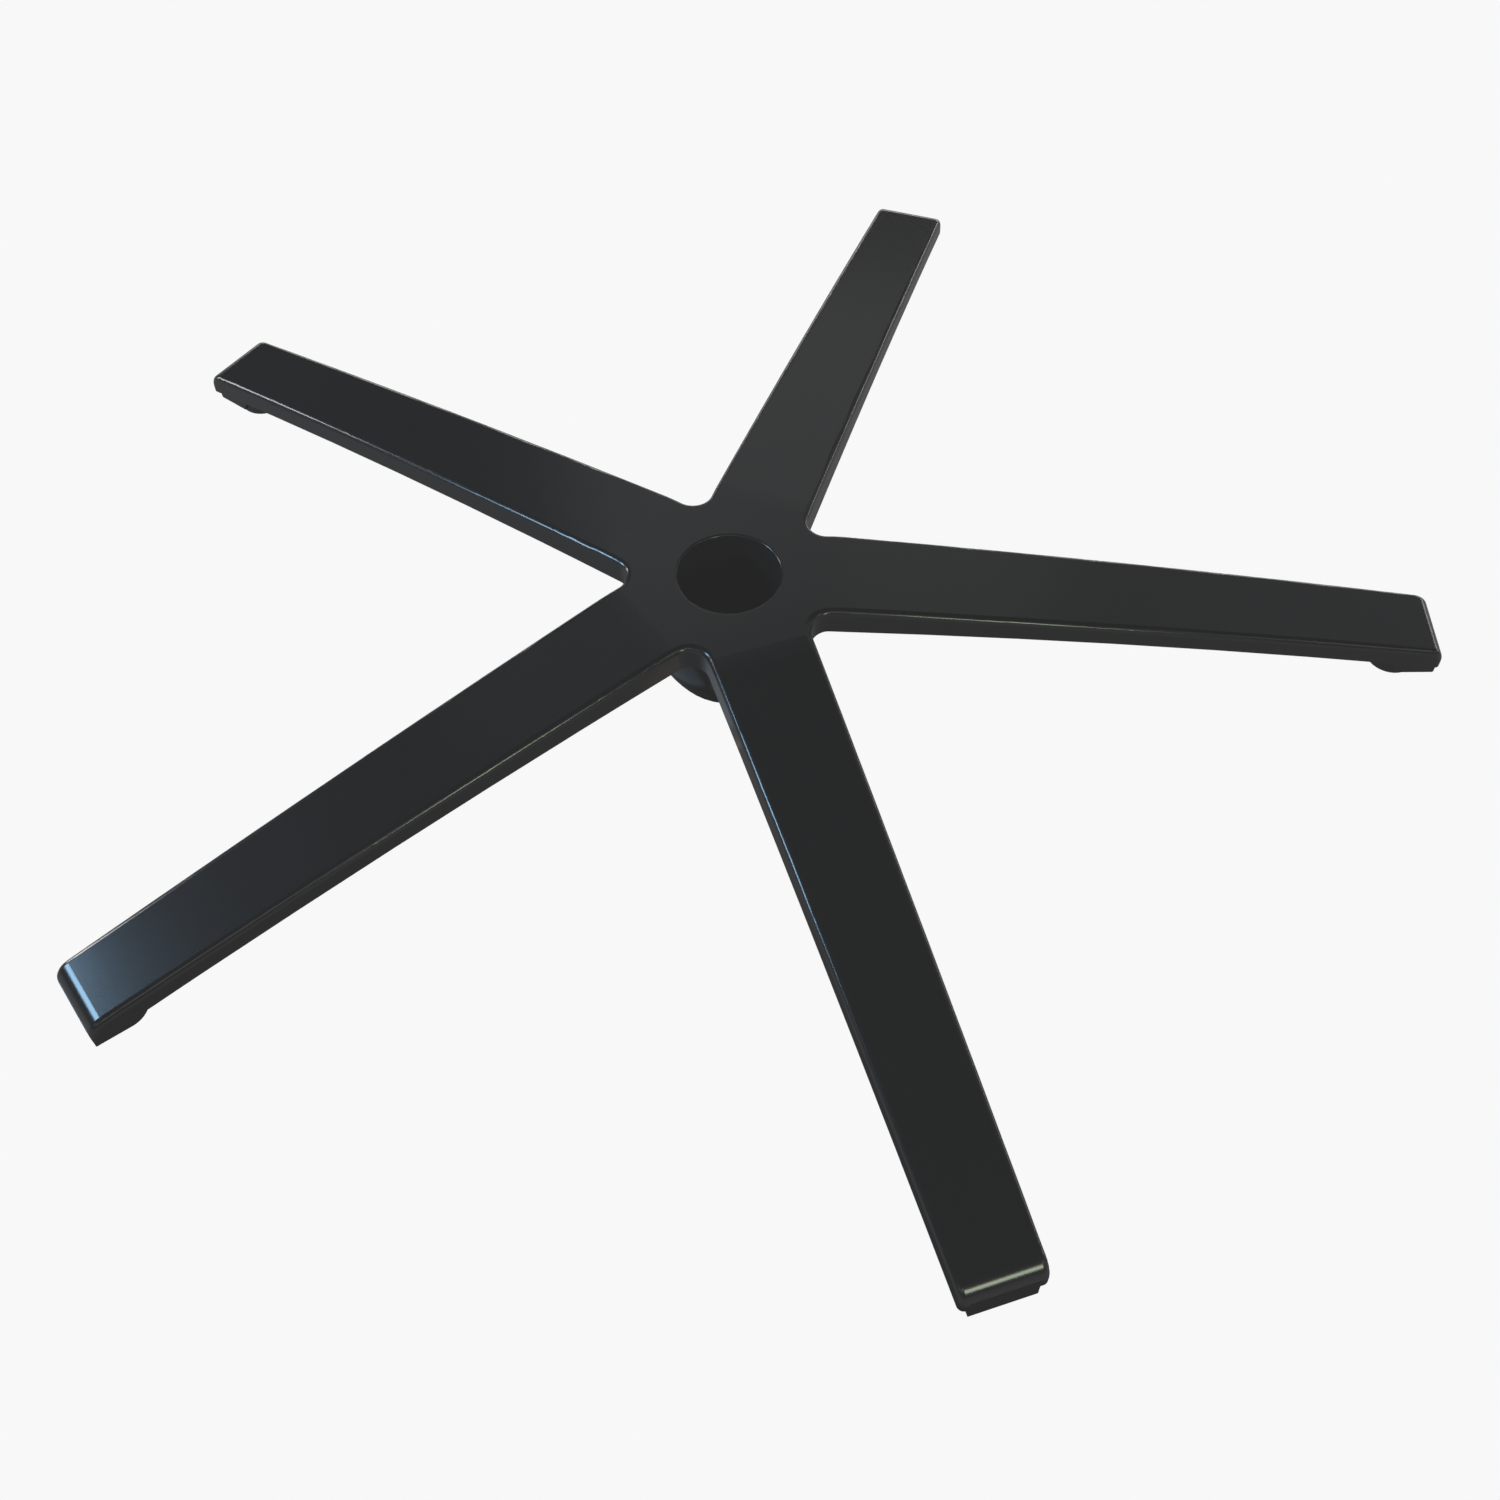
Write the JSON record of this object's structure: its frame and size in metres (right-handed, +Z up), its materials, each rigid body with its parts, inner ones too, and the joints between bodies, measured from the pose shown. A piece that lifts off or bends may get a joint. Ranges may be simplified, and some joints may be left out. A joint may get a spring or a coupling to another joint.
{
  "type": "swivel chair base",
  "caption": "Black die-cast star base for a swivel chair: crowned tapering arms with hollow ribbed undersides, a hub socket for the gas column and castor sockets at the tips.",
  "frame": {"origin": "centre of the column socket's mouth, in the plane of the hub's top face", "axes": "+Z up along the column's axis, +X along one arm"},
  "size_m": [0.6433, 0.6762, 0.0644],
  "materials": {
    "powder_coat": "black semi-gloss powder coat on cast aluminium"
  },
  "bodies": {
    "root": {"five_star_base": "powder_coat"}
  },
  "joints": []
}
